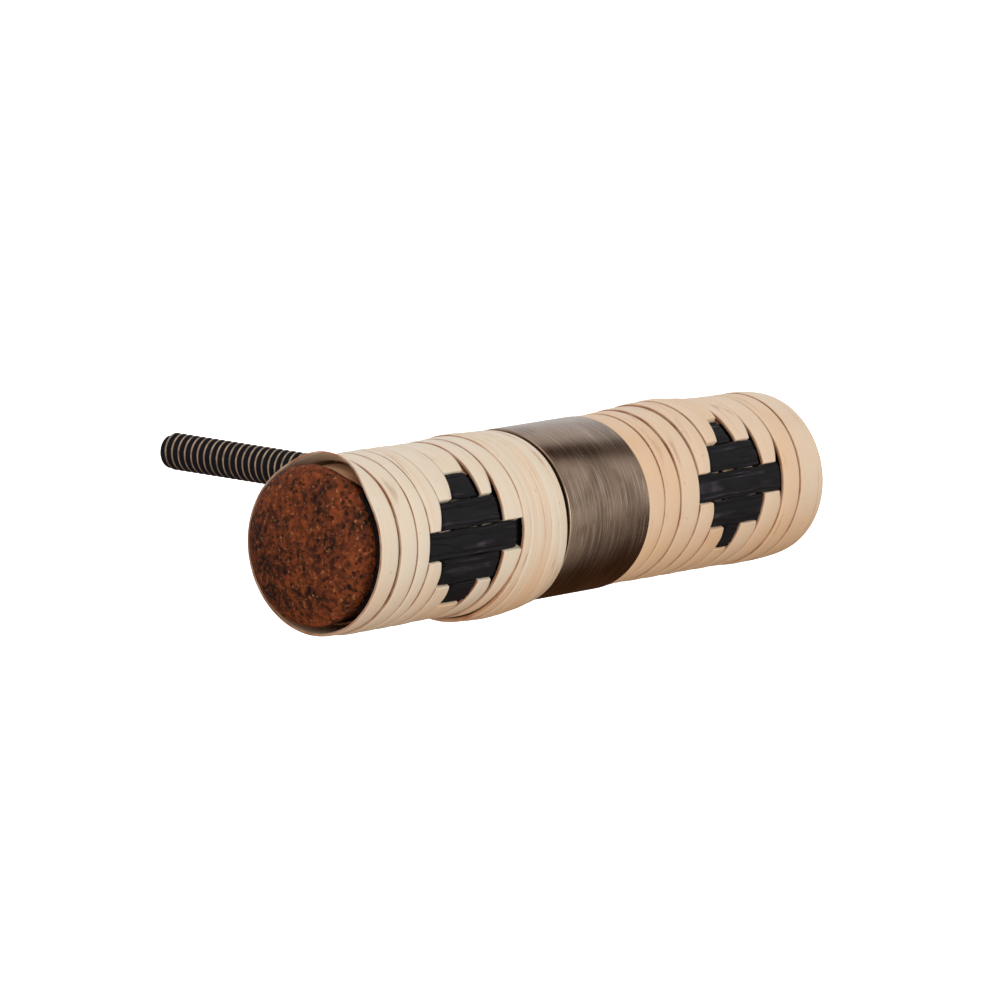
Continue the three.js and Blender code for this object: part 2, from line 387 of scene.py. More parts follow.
def cane_material(name, pale, warm, edge, warmth):
    """Cane peel: pale and satin, with grain along the strip, orange-brown cut edges with painted shade in
    the seams, and painted shade warming its underside.
    """
    material, tree, inputs = new_material(name)
    strip = strip_place(tree)
    place = object_place(tree)
    tone = add_node(tree, "ShaderNodeAttribute", attribute_name="tone").outputs["Fac"]
    border = add_node(tree, "ShaderNodeAttribute", attribute_name="edge").outputs["Fac"]
    fibre = use_group(tree, "Strip fibre", vector=strip, along=38.0, across=1900.0, split_width=0.06)
    stain = mottle(tree, place, 260.0, 0.4, 0.66)
    cloud = mottle(tree, place, 90.0, 0.3, 0.7)
    specks = mottle(tree, place, 1100.0, 0.68, 0.76)

    # Painted shade: below the bar's axis the cane is blended towards its warm colour, more so further
    # down.
    height = add_node(tree, "ShaderNodeSeparateXYZ", {0: place}).outputs["Z"]
    under = ramp_mask(tree, height, 0.0, WARMEST_SHADE_HEIGHT)
    warming = plus(tree, times(tree, under, 0.75), times(tree, cloud, 0.28))
    warming = plus(tree, warming, times(tree, tone, 0.4))
    warming = plus(tree, warming, warmth, clamp=True)
    colour = blend_colour(tree, warming, pale, warm)
    streaks = ramp_mask(tree, fibre["Grain"], 0.5, 0.72)
    colour = blend_colour(tree, times(tree, streaks, 0.38), colour, warm)
    broken = times(tree, fibre["Splits"], times(tree, stain, 0.5))
    colour = blend_colour(tree, broken, colour, edge)
    colour = blend_colour(tree, times(tree, specks, 0.35), colour, edge)
    # The strips' edges take the edge colour. It is partly the cut face's own orange-brown and partly
    # painted shade in the seams between turns.
    edge_and_seam_shade = ramp_mask(tree, border, 0.87, 0.97)
    faded = plus(tree, times(tree, stain, 0.45), 0.5)
    colour = blend_colour(tree, times(tree, edge_and_seam_shade, faded), colour, edge)
    tree.links.new(colour, inputs["Base Color"])
    tree.links.new(ramp_mask(tree, fibre["Grain"], -0.4, 1.6), inputs["Roughness"])
    inputs["Specular IOR Level"].default_value = 0.35
    bump(tree, inputs, minus(tree, fibre["Grain"], broken), 0.06, 0.8)
    return material


def black_cane_material(dark, worn):
    """Black-dyed cane, with grey fibre lines along each strip."""
    material, tree, inputs = new_material("black_dyed_cane")
    strip = strip_place(tree)
    place = object_place(tree)
    fibre = use_group(tree, "Strip fibre", vector=strip, along=90.0, across=3200.0, split_width=0.12)
    patches = mottle(tree, place, 420.0, 0.45, 0.75)
    streaks = ramp_mask(tree, fibre["Grain"], 0.53, 0.66)
    lightened = times(tree, streaks, plus(tree, times(tree, patches, 0.6), 0.25))
    tree.links.new(blend_colour(tree, lightened, dark, worn), inputs["Base Color"])
    tree.links.new(ramp_mask(tree, fibre["Grain"], -0.6, 1.2), inputs["Roughness"])
    inputs["Specular IOR Level"].default_value = 0.22
    bump(tree, inputs, minus(tree, fibre["Grain"], fibre["Splits"]), 0.14)
    return material


def pole_material(dark, mid, fleck):
    """The stained pole's open-grained end: dark pits, reddish brown, and tan flecks."""
    material, tree, inputs = new_material("open_grained_pole", Roughness=0.72)
    place = object_place(tree)
    warp = noise(tree, place, 900.0, 2.0)
    shifted = scaled(tree, warp["Color"], (WARP, WARP, WARP))
    warped = add_node(tree, "ShaderNodeVectorMath", {0: place, 1: shifted}, operation="ADD").outputs[0]
    cells = add_node(tree, "ShaderNodeTexVoronoi", {"Vector": warped, "Scale": 1500.0})
    pits = ramp_mask(tree, cells.outputs["Distance"], 0.5, 0.2)
    sparse = mottle(tree, place, 600.0, 0.38, 0.62)
    pits = times(tree, pits, sparse)
    cloud = mottle(tree, place, 230.0, 0.35, 0.65)
    grit = mottle(tree, warped, 1300.0, 0.35, 0.66)
    flecks = mottle(tree, warped, 2300.0, 0.58, 0.74)
    stained = plus(tree, times(tree, cloud, 0.45), times(tree, grit, 0.6))
    colour = blend_colour(tree, stained, dark, mid)
    colour = blend_colour(tree, times(tree, flecks, 0.6), colour, fleck)
    colour = blend_colour(tree, times(tree, pits, 0.85), colour, PIT_COLOUR)
    tree.links.new(colour, inputs["Base Color"])
    inputs["Specular IOR Level"].default_value = 0.15
    relief = minus(tree, times(tree, grit, 0.5), pits)
    bump(tree, inputs, relief, 0.22)
    return material


def metal_material(name, base, dark, scratch, roughness, brushed):
    """Darkened metal, brushed round the piece, with patches of deeper tarnish."""
    material, tree, inputs = new_material(name, Metallic=1.0)
    strip = strip_place(tree)
    place = object_place(tree)
    brushing = use_group(tree, "Brushing", vector=strip, along=130.0, across=5200.0)
    tarnish = mottle(tree, place, 230.0, 0.35, 0.7)
    colour = blend_colour(tree, times(tree, tarnish, 0.6), base, dark)
    lines = times(tree, ramp_mask(tree, brushing["Brushing"], 0.45, 0.75), brushed)
    colour = blend_colour(tree, lines, colour, scratch)
    scratches = times(tree, brushing["Scratches"], brushed)
    colour = blend_colour(tree, scratches, colour, scratch)
    tree.links.new(colour, inputs["Base Color"])
    spread = plus(tree, times(tree, brushing["Brushing"], 0.22), roughness - 0.11)
    tree.links.new(spread, inputs["Roughness"])
    bump(tree, inputs, brushing["Brushing"], 0.02, 0.6)
    return material


def thread_material(root, crest):
    """Blackened in the thread's roots, with a painted highlight in tan along its crests."""
    material, tree, inputs = new_material("thread_with_crest_highlight", Metallic=0.85)
    place = object_place(tree)
    apart = add_node(tree, "ShaderNodeSeparateXYZ", {0: place}).outputs
    squares = plus(tree, times(tree, apart["X"], apart["X"]), times(tree, apart["Z"], apart["Z"]))
    radius = calc(tree, "SQRT", squares)
    crest_highlight_patches = mottle(tree, place, 900.0, 0.3, 0.6)
    # Painted highlight: near the outer radius, the crests are blended to the tan crest colour, broken into
    # patches.
    crests = ramp_mask(tree, radius, (STUD_R - 0.09) * MM, (STUD_R - 0.005) * MM)
    lightened = times(tree, crests, plus(tree, times(tree, crest_highlight_patches, 0.5), 0.5))
    tree.links.new(blend_colour(tree, lightened, root, crest), inputs["Base Color"])
    tree.links.new(ramp_mask(tree, lightened, 1.6, -0.9), inputs["Roughness"])
    fine = noise(tree, place, 4000.0, 3.0)
    bump(tree, inputs, fine["Fac"], 0.02, 0.5)
    return material


def finish_of(name):
    """A finish of the knob, made the first time that it is asked for."""
    colours = bpy.context.scene.knob_colours
    pale, warm, edge = colours.cane_pale, colours.cane_warm, colours.cane_edge
    tarnish, scratch = colours.brass_dark, colours.brass_scratch
    makers = {
        "near_cane_peel": lambda: cane_material(name, pale, warm, edge, -0.1),
        "far_cane_peel": lambda: cane_material(name, pale, warm, edge, 0.46),
        # The lining uses the warm and edge colours. This is partly the inner cane's own darker colour and
        # partly painted shade inside the rim.
        "inner_cane_peel": lambda: cane_material(name, warm, edge, edge, 0.2),
        "black_dyed_cane": lambda: black_cane_material(colours.black_dye, colours.black_worn),
        "open_grained_pole": lambda: pole_material(
            colours.pole_dark, colours.pole_mid, colours.pole_fleck),
        "brushed_brass": lambda: metal_material(name, colours.brass, tarnish, scratch, 0.25, 0.8),
        "dark_bronze": lambda: metal_material(name, colours.bronze, tarnish, scratch, 0.38, 0.3),
        "thread_with_crest_highlight": lambda: thread_material(colours.thread_root, colours.thread_crest_highlight),
    }
    return bpy.data.materials.get(name) or makers[name]()


# ---- The wrap ----


def seams_of(half):
    """The places of a half's seams at the front, from left to right."""
    boxes = [box_mm(node) for node in half["turns"]]
    inner = [(a[1][0] + b[0][0]) / 2 for a, b in zip(boxes, boxes[1:])]
    return np.array([boxes[0][0][0], *inner, boxes[-1][1][0]])


def turn_angles(half):
    """Stations once round the bar from the back, closer where turns dive under the strips."""
    even = np.linspace(-180.0, 180.0, 241)
    close = []
    for row in range(len(MOTIF_REACH) + 1):
        crossing = half["angle"] + (row - len(MOTIF_REACH) / 2) * STRIP_PITCH
        close.extend(crossing + np.linspace(-2.0, 2.0, 13))
    return np.unique(np.round(np.concatenate([even, close]), 3))


def strip_profile(steps=26):
    """A flat strip's cross-section: places across from -1 to 1, and heights from -1 to 1."""
    angle = np.linspace(0.0, 2.0 * np.pi, steps, endpoint=False) + np.pi / steps
    across = np.sign(np.cos(angle)) * np.abs(np.cos(angle)) ** 0.45
    height = np.sign(np.sin(angle)) * np.abs(np.sin(angle)) ** 0.3
    return across, height


def cane_strip(name, angles, left, right, base, thickness, seed, slope=0.0, turn=None):
    """A strip of cane round the bar between two edges, its underside at a base radius.

    Where it is one turn of a longer strip, its grain runs on from the turn before.
    """
    across, height = strip_profile()
    rng = np.random.default_rng(seed)
    middle, half_width = (left + right) / 2, (right - left) / 2
    x = middle[:, None] + half_width[:, None] * across[None, :]
    crown = 0.07 * (1.0 - across ** 2) * (height > 0)
    ripple = wobble(angles, seed + 7, 0.012, (4, 7, 11, 17))[:, None] * np.cos(across * 2.0)[None, :]
    top = base[:, None] + thickness[:, None] * (height[None, :] + 1.0) / 2.0
    tilt = np.broadcast_to(slope, angles.shape)[:, None] * across[None, :]
    radius = top + crown[None, :] + ripple + tilt
    along_start, across_start, shade = rng.uniform(0, 5), rng.uniform(0, 5), rng.uniform(-0.5, 0.5)
    if turn is not None:
        along_start, across_start = math.radians(turn * 360.0) * COLLAR_R * MM, 1.0
    metric_along = np.radians(angles) * COLLAR_R * MM + along_start
    metric_across = (np.arange(len(across) + 1) / len(across)) * 2 * half_width.mean() * 2 * MM
    metric_across = metric_across + across_start
    inland = smooth(180.0 - np.abs(angles), 0.0, 50.0)[:, None]
    edge = np.broadcast_to(np.abs(across) ** 2, radius.shape)
    tone = np.broadcast_to(inland * (shade + wobble(angles, seed + 3, 0.15)[:, None]), radius.shape)
    points = on_bar(x, radius, angles[:, None])
    return grid_piece(name, points, metric_along, metric_across, edge=edge, tone=tone)


def motif_spread(half, index):
    """Half the angle that the diamond covers on a turn, or 0 where the turn misses it."""
    distance = abs(index - half["centre"])
    widest = max(MOTIF_REACH)
    return max(0.0, (widest + 0.5 - distance) * STRIP_PITCH) if distance <= widest else 0.0


def meeting_swell(half, index, angles):
    """A turn's swell at the back, where it runs on into the turns beside it."""
    swell = [(top + under) / 2 for top, under in zip(half["swell_top"], half["swell_under"])]
    after, before = swell[min(index + 1, len(swell) - 1)], swell[max(index - 1, 0)]
    return np.where(angles > 0.0, (swell[index] + after) / 2, (swell[index] + before) / 2)


def wedge(angles, half, index, upper, lower):
    """How far a turn draws back beside the diamond, where it dives under a strip."""
    spread = motif_spread(half, index)
    if not spread:
        return np.zeros_like(angles)
    past = np.abs(angles - half["angle"]) - spread
    reach = np.where(angles > half["angle"], 22.0, 11.0)
    depth = np.where(angles > half["angle"], upper, lower)
    return depth * np.clip(1.0 - np.clip(past, 0.0, None) / reach, 0.0, 1.0) ** 1.6


def wound_half(half):
    """The turns of one half, wound as one strip from left to right."""
    seams = seams_of(half)
    angles = turn_angles(half)
    seam_angles = np.arange(len(seams)) * 360.0
    material = finish_of(f"{half['prefix']}_cane_peel")
    last = len(half["turns"]) - 1

    def seam(number):
        place = np.interp(number * 360.0 + angles, seam_angles, seams)
        bend = wobble(angles, 40 + number * 5 + half["seed"], 0.09)
        return place + bend * smooth(180.0 - np.abs(angles), 0.0, 25.0)

    for index, node in enumerate(half["turns"]):
        seed = 100 + index * 13 + half["seed"]
        gap = 0.035 + 0.03 * (1.0 + np.sin(np.radians(angles * 3 + seed)))
        left = seam(index) + gap
        right = seam(index + 1) - gap - wedge(angles, half, index, 0.95, 0.55)
        share = (1.0 + np.sin(np.radians(angles))) / 2
        swell = half["swell_under"][index] * (1 - share) + half["swell_top"][index] * share
        run_on = smooth(np.abs(angles), 120.0, 180.0)
        swell = swell * (1.0 - run_on) + meeting_swell(half, index, angles) * run_on
        spread = motif_spread(half, index)
        dive = smooth(spread - np.abs(angles - half["angle"]), -0.75, 0.75) if spread else 0.0 * angles
        base = OUTER_LAYER_R + 0.08 + swell - dive * (LAYER_RISE + swell + 0.05)
        thickness = CANE_THICKNESS - 0.12 * dive + wobble(angles, seed + 1, 0.01)
        slope = 0.0
        if index == 0 and half is NEAR:
            left, base, slope = near_rim(angles, base)
            thickness = thickness - 0.12 * (1.0 - run_on)
        if index == 0 and half is FAR:
            left = np.full_like(angles, COLLAR_HIGH[0] + 0.08) + wobble(angles, 3, 0.03)
        if index == last and half is FAR:
            right = np.full_like(angles, seams[-1] + 0.7) + wobble(angles, 5, 0.1, (1, 2, 3))
            slope = -0.16
        if index == last and half is NEAR:
            right = np.full_like(angles, seams[-1] + 0.8)
        turn = cane_strip(f"{node}_strip", angles, left, right, base, thickness, seed, slope, index)
        finish_piece(turn, material, "knob", "cane", node)


def near_rim(angles, base):
    """The free end's edge: it runs out at the front, and lifts into a loop over the top."""
    loop = np.exp(-(np.abs((angles - 84.0) / 30.0) ** 2.6))
    run_out = 0.7 * np.exp(-(((angles + 30.0) / 60.0) ** 2))
    edge = np.full_like(angles, seams_of(NEAR)[0]) - run_out + 1.2 * loop + wobble(angles, 9, 0.05)
    return edge, base + 0.55 * loop, -0.05 - 0.55 * loop


def band_strands(strands):
    """The doubled band beside the collar: overlapping strands that fan out underneath."""
    low, high = box_mm("near_cane_band")
    angles = np.linspace(-180.0, 180.0, 241)
    under = smooth(-np.sin(np.radians(angles)), -0.1, 1.0)
    made = []
    overlap = 1.45
    for strand in range(strands):
        seed = 900 + strand * 17
        place = strand / (strands - 1)
        left_end = low[0] + 0.1 - 2.3 * under
        right_end = high[0] - 0.1 + 0.3 * under
        width = (right_end - left_end) / strands * overlap
        left = left_end + place * (right_end - left_end - width) + wobble(angles, seed, 0.1)
        right = left + width
        bulge = 1.0 * under * np.sin(np.pi * (0.25 + 0.55 * place))
        base = OUTER_LAYER_R + 0.3 + 0.25 * (1 - place) + bulge + wobble(angles, seed + 2, 0.02)
        thickness = 0.5 + wobble(angles, seed + 1, 0.02)
        name = f"band_strand_{strand + 1}"
        made.append(cane_strip(name, angles, left, right, base, thickness, seed, -0.1))
    band = joined("near_cane_band_strands", made)
    finish_piece(band, finish_of("near_cane_peel"), "knob", "cane", "near_cane_band")


def black_strips(half):
    """The black lengthwise strips, up over their own run of turns and under the others."""
    seams = seams_of(half)
    for row, reach in enumerate(MOTIF_REACH):
        node = f"{half['prefix']}_black_strip_{row + 1}"
        low, high = box_mm(node)
        seed = 300 + row * 11 + half["seed"]
        rng = np.random.default_rng(seed)
        run_start = seams[half["centre"] - reach]
        run_end = seams[half["centre"] + reach + 1]
        x = np.unique(np.concatenate([
            np.linspace(low[0], high[0], 120),
            run_start + np.linspace(-0.3, 1.0, 16),
            run_end + np.linspace(-1.0, 0.3, 16),
        ]))
        up = smooth(x, run_start - 0.05, run_start + 0.5) * smooth(-x, -run_end - 0.05, -run_end + 0.6)
        centre = half["angle"] + (2 - row) * STRIP_PITCH + rng.uniform(-0.4, 0.4)
        across, height = strip_profile(steps=44)
        ribs = 0.06 * np.sin(across * rng.uniform(13, 17) + rng.uniform(0, 6)) * (height > 0.5)
        swell = 0.12 + 0.06 * np.sin((x - run_start) / max(run_end - run_start, 1.0) * np.pi)
        base = INNER_LAYER_R + up * (LAYER_RISE + swell)
        radius = base[:, None] + BLACK_THICKNESS * (height[None, :] + 1.0) / 2.0 + ribs[None, :]
        radius = radius + 0.05 * (1.0 - across ** 2)[None, :]
        half_width = STRIP_WIDTH / 2 * (1.0 + 0.03 * np.sin(x * 0.9 + row))
        angle = centre + half_width[:, None] * across[None, :]
        along = x * MM + rng.uniform(0, 5)
        side = (np.arange(len(across) + 1) / len(across)) * 7.0 * MM + rng.uniform(0, 5)
        points = on_bar(x[:, None], radius, angle)
        strip = grid_piece(f"{node}_strip", points, along, side)
        finish_piece(strip, finish_of("black_dyed_cane"), "knob", "black_cane", node)


def inner_layer(half):
    """The inner layer of cane round the back of the core. It shows inside the free rim."""
    node = f"{half['prefix']}_cane_lining"
    low, high = box_mm(node)
    first = half["angle"] + (len(MOTIF_REACH) / 2) * STRIP_PITCH + 1.0
    angles = np.linspace(first, first + 360.0 - len(MOTIF_REACH) * STRIP_PITCH - 2.0, 121)
    free = half["free_end"]
    recess = 2.6 - 2.3 * np.exp(-(((angles - 88.0) / 30.0) ** 2))
    left = np.full_like(angles, low[0]) + (recess if free < 0 else 0.0)
    right = np.full_like(angles, high[0]) - (recess if free > 0 else 0.0)
    base = np.full_like(angles, INNER_LAYER_R)
    thickness = np.full_like(angles, LINING_THICKNESS)
    lining = cane_strip(f"{node}_layer", angles, left, right, base, thickness, 77)
    finish_piece(lining, finish_of("inner_cane_peel"), "knob", "cane", node)


# ---- The bar's core and brass ----


def dome_rings(apex, equator, half_y, half_z, centre_y, centre_z):
    """An oval dome's rings from its apex in: place, half sizes and centre of each."""
    turn = np.linspace(0.03, 1.0, 44) * np.pi / 2
    reach = np.sin(turn)
    x = equator + (apex - equator) * np.cos(turn)
    dome = np.stack([x, half_y * reach, half_z * reach,
                     np.full_like(x, centre_y), np.full_like(x, centre_z)], -1)
    inward = -math.copysign(3.4, apex)
    steps = np.linspace(0.0, 1.0, 9)[1:]
    ease = smooth(steps, 0.0, 1.0)[:, None]
    neck_start = dome[-1]
    neck_end = np.array([equator + inward, 9.0, 9.0, 0.0, 0.0])
    neck = neck_start + (neck_end - neck_start) * ease
    neck[:, 0] = equator + inward * steps
    return np.concatenate([dome, neck])


def pole_core():
    """The pole inside the wrap. Each end is a blunt dome that stands proud of its rim."""
    low, high = box_mm("pole_core")
    near_rim_x = box_mm("near_cane_turn_1")[0][0]
    far_rim_x = box_mm("far_cane_turn_1")[1][0]
    near = dome_rings(low[0], near_rim_x - 0.5, 9.15, 9.85, 0.3, 0.35)
    far = dome_rings(high[0], far_rim_x + 0.4, 9.2, 9.3, 0.2, 0.0)
    rings = np.concatenate([near, far[::-1]])
    x, half_y, half_z, centre_y, centre_z = rings.T
    angles = np.linspace(0.0, 360.0, 200, endpoint=False)
    rng = np.random.default_rng(5)
    end = np.clip(half_z / 9.3, 0.0, 1.0)
    lumps = np.zeros((len(x), len(angles)))
    for wave in (2, 3, 5, 9, 14):
        swing = np.sin(np.radians(angles) * wave + rng.uniform(0, 6))[None, :]
        ring = np.sin(half_z * wave * 0.35 + rng.uniform(0, 6)) * end ** 2
        lumps += rng.normal() * swing * ring[:, None] / wave
    turn = np.radians(angles)[None, :]
    swell = 1.0 + 0.008 * lumps
    y = BAR_Y + centre_y[:, None] - half_y[:, None] * swell * np.cos(turn)
    z = centre_z[:, None] + half_z[:, None] * swell * np.sin(turn)
    points = np.stack([np.broadcast_to(x[:, None], y.shape), y, z], -1)
    across = np.append(angles, 360.0) * MM
    core = grid_piece("pole_core_domed", points, x * MM, across)
    finish_piece(core, finish_of("open_grained_pole"), "knob", "stained_pole", "pole_core")


def turned_piece(name, profile, about_bar, steps=128):
    """Turns a closed profile of (radius, place) pairs, its corners already rounded."""
    radius, place = np.array(profile).T
    angles = np.linspace(0.0, 360.0, steps, endpoint=False)
    if about_bar:
        points = on_bar(place[None, :], radius[None, :], angles[:, None])
    else:
        points = about_stud(radius[None, :], angles[:, None], place[None, :])
    around = np.append(angles, 360.0) * math.pi / 180 * radius.max() * MM
    run = np.hypot(np.diff(radius, append=radius[0]), np.diff(place, append=place[0]))
    across = np.concatenate([[0.0], np.cumsum(run)]) * MM
    return grid_piece(name, points, around, across, closed_u=True)


def rounded(corners, fillet, steps=4):
    """A closed outline with each corner rounded."""
    corners = [np.array(c, dtype=float) for c in corners]
    outline = []
    for before, corner, after in zip(corners[-1:] + corners[:-1], corners, corners[1:] + corners[:1]):
        to_before, to_after = before - corner, after - corner
        cut = min(fillet, np.linalg.norm(to_before) / 2.2, np.linalg.norm(to_after) / 2.2)
        start = corner + to_before / np.linalg.norm(to_before) * cut
        end = corner + to_after / np.linalg.norm(to_after) * cut
        for t in np.linspace(0.0, 1.0, steps + 1):
            outline.append((1 - t) ** 2 * start + 2 * t * (1 - t) * corner + t ** 2 * end)
    return outline


def ring_profile(inner, outer, low, high):
    """A plain ring's section, as (radius, place) corners."""
    return [(inner, low), (outer, low), (outer, high), (inner, high)]


def brass_collar():
    """The sleeve round the bar's middle, with softly rolled ends."""
    corners = ring_profile(INNER_LAYER_R + 0.1, COLLAR_R + 0.06, COLLAR_LOW[0], COLLAR_HIGH[0])
    collar = turned_piece("brass_collar_sleeve", rounded(corners, 0.22), about_bar=True, steps=192)
    finish_piece(collar, finish_of("brushed_brass"), "knob", "antique_brass", "brass_collar")


def brass_post():
    """The round standoff, with a raised ring where it meets the door."""
    radius = (POST_HIGH[0] - POST_LOW[0]) / 2
    bore = STUD_R + BORE_CLEARANCE
    neck = radius - 0.55
    root = BAR_Y + COLLAR_R - 1.2
    corners = [
        (bore, root),
        (radius, root),
        (radius, root + 2.0),
        (neck, root + 3.2),
        (neck, POST_HIGH[1] - 2.6),
        (radius, POST_HIGH[1] - 1.8),
        (radius, POST_HIGH[1]),
        (bore, POST_HIGH[1]),
    ]
    post = turned_piece("brass_post_standoff", rounded(corners, 0.3), about_bar=False)
    finish_piece(post, finish_of("brushed_brass"), "knob", "antique_brass", "brass_post")


def plain_washer():
    """A pressed washer with one edge rounder than the other."""
    radius = (WASHER_HIGH[0] - WASHER_LOW[0]) / 2
    corners = ring_profile(STUD_R + BORE_CLEARANCE, radius, WASHER_LOW[1], WASHER_HIGH[1])
    ring = turned_piece("plain_washer", rounded(corners, 0.25), about_bar=False, steps=96)
    finish_piece(ring, finish_of("dark_bronze"), "washer", "blackened_bronze", "washer")


def hex_nut():
    """A chamfered hexagon nut whose bore carries the thread."""
    flat = (NUT_HIGH[2] - NUT_LOW[2]) / 2
    corner = flat / math.cos(math.pi / 6)
    chamfer = 0.55
    height = NUT_HIGH[1] - NUT_LOW[1]
    angles = np.linspace(0.0, 360.0, 180, endpoint=False)
    hexagon = flat / np.cos(np.radians(angles % 60.0 - 30.0))
    rise = np.concatenate([[0.0], np.linspace(0.0, 1.0, 9), np.linspace(1.0, height - 1.0, 3),
                           np.linspace(height - 1.0, height, 9), [height]])
    inset = chamfer * np.clip(1.0 - np.minimum(rise, height - rise) / chamfer, 0.0, 1.0) * 1.7
    cone = corner - inset
    outside = np.minimum(hexagon[:, None], cone[None, :])
    outside[:, [0, -1]] = STUD_R + 0.5
    bore_rise = np.linspace(height, 0.0, 40)[1:-1]
    pitch = bpy.context.scene.knob_sizes.thread_pitch / MM
    phase = (NUT_LOW[1] + bore_rise[None, :]) / pitch - angles[:, None] / 360.0
    crest = np.abs((phase % 1.0) * 2.0 - 1.0)
    inside = STUD_R + 0.1 - 0.12 * crest
    radius = np.concatenate([outside, inside], axis=1)
    place = NUT_LOW[1] + np.concatenate([rise, bore_rise])
    points = about_stud(radius, angles[:, None], place[None, :])
    around = np.append(angles, 360.0) * math.pi / 180 * flat * MM
    across = np.arange(points.shape[1] + 1) * 0.3 * MM
    nut = grid_piece("hex_nut_threaded", points, around, across, closed_u=True)
    sharpen(nut, 32.0)
    finish_piece(nut, finish_of("dark_bronze"), "nut", "blackened_bronze", "hex_nut")


def sharpen(piece, degrees):
    """Keeps edges above an angle crisp on a smooth-shaded piece."""
    select_only(piece)
    bpy.ops.object.shade_smooth_by_angle(angle=math.radians(degrees))


# ---- The stud's thread, as geometry nodes ----


def thread_tree():
    """A cylinder whose surface rises and falls along a right-handed helix."""
    tree = bpy.data.node_groups.new("Stud thread", "GeometryNodeTree")
    sockets = {}
    for label, kind, value in (
        ("Length", "Float", 0.05),
        ("Radius", "Float", 0.0024),
        ("Pitch", "Float", 0.001),
        ("Depth", "Float", 0.0003),
        ("Tip Rounding", "Float", 0.001),
        ("Rings", "Int", 600),
        ("Start", "Vector", (0.0, 0.0, 0.0)),
        ("Finish", "Material", None),
    ):
        socket = tree.interface.new_socket(label, in_out="INPUT", socket_type=f"NodeSocket{kind}")
        if value is not None:
            socket.default_value = value
        sockets[label] = socket.identifier
    tree.interface.new_socket("Geometry", in_out="OUTPUT", socket_type="NodeSocketGeometry")
    given = tree.nodes.new("NodeGroupInput").outputs
    result = tree.nodes.new("NodeGroupOutput").inputs

    rod = add_node(tree, "GeometryNodeMeshCylinder", {
        "Vertices": 56, "Side Segments": given["Rings"], "Fill Segments": 3,
        "Radius": given["Radius"], "Depth": given["Length"],
    })
    place = add_node(tree, "GeometryNodeInputPosition").outputs[0]
    apart = add_node(tree, "ShaderNodeSeparateXYZ", {0: place}).outputs
    turn = calc(tree, "DIVIDE", calc(tree, "ARCTAN2", apart["Y"], apart["X"]), 2 * math.pi)
    phase = minus(tree, calc(tree, "DIVIDE", apart["Z"], given["Pitch"]), turn)
    saw = times(tree, calc(tree, "PINGPONG", phase, 0.5), 2.0)
    ridge = ramp_mask(tree, saw, 0.08, 0.9)
    groove = times(tree, minus(tree, 1.0, ridge), given["Depth"])
    tip_drop = 0.0011
    half_length = times(tree, given["Length"], 0.5)
    to_end = minus(tree, half_length, calc(tree, "ABSOLUTE", apart["Z"]))
    near_end = calc(tree, "DIVIDE", to_end, given["Tip Rounding"], clamp=True)
    fallen = minus(tree, 1.0, calc(tree, "POWER", minus(tree, 1.0, near_end), 2.0))
    taper = times(tree, minus(tree, 1.0, calc(tree, "SQRT", fallen)), tip_drop)
    lost = calc(tree, "DIVIDE", plus(tree, groove, taper), given["Radius"])
    keep = minus(tree, 1.0, lost)
    moved = add_node(tree, "ShaderNodeCombineXYZ", {
        0: times(tree, apart["X"], keep),
        1: times(tree, apart["Y"], keep),
        2: apart["Z"],
    }).outputs[0]
    threaded = add_node(tree, "GeometryNodeSetPosition", {
        "Geometry": rod.outputs["Mesh"], "Position": moved,
    })
    laid = add_node(tree, "GeometryNodeTransform", {
        "Geometry": threaded.outputs[0],
        "Translation": given["Start"],
        "Rotation": (-math.pi / 2, 0.0, 0.0),
    })
    real = add_node(tree, "GeometryNodeRealizeInstances", {"Geometry": laid.outputs[0]})
    dressed = add_node(tree, "GeometryNodeSetMaterial", {
        "Geometry": real.outputs[0], "Material": given["Finish"],
    })
    tree.links.new(dressed.outputs[0], result[0])
    return tree, sockets


def threaded_stud():
    """The stud with its full thread, made by the thread tree and kept as a plain mesh."""
    sizes = bpy.context.scene.knob_sizes
    tree, sockets = thread_tree()
    host = placed("stud_host", bpy.data.meshes.new("stud_host"))
    modifier = host.modifiers.new("Thread", "NODES")
    modifier.node_group = tree
    length = (STUD_HIGH[1] - STUD_LOW[1]) * MM
    values = {
        "Length": length,
        "Radius": STUD_R * MM,
        "Pitch": sizes.thread_pitch,
        "Depth": sizes.thread_depth,
        "Tip Rounding": sizes.tip_rounding,
        "Rings": int(length / sizes.thread_pitch * sizes.rings_per_turn),
        "Start": (0.0, (STUD_HIGH[1] + STUD_LOW[1]) / 2 * MM, 0.0),
        "Finish": finish_of("thread_with_crest_highlight"),
    }
    for label, value in values.items():
        modifier[sockets[label]] = value
    depsgraph = bpy.context.evaluated_depsgraph_get()
    mesh = bpy.data.meshes.new_from_object(host.evaluated_get(depsgraph), depsgraph=depsgraph)
    bpy.data.objects.remove(host)
    mesh.polygons.foreach_set("use_smooth", np.ones(len(mesh.polygons), dtype=bool))
    stud = placed("stud_thread", mesh)
    finish_piece(stud, finish_of("thread_with_crest_highlight"), "knob", "blackened_bronze", "threaded_stud")


# ---- The stage ----


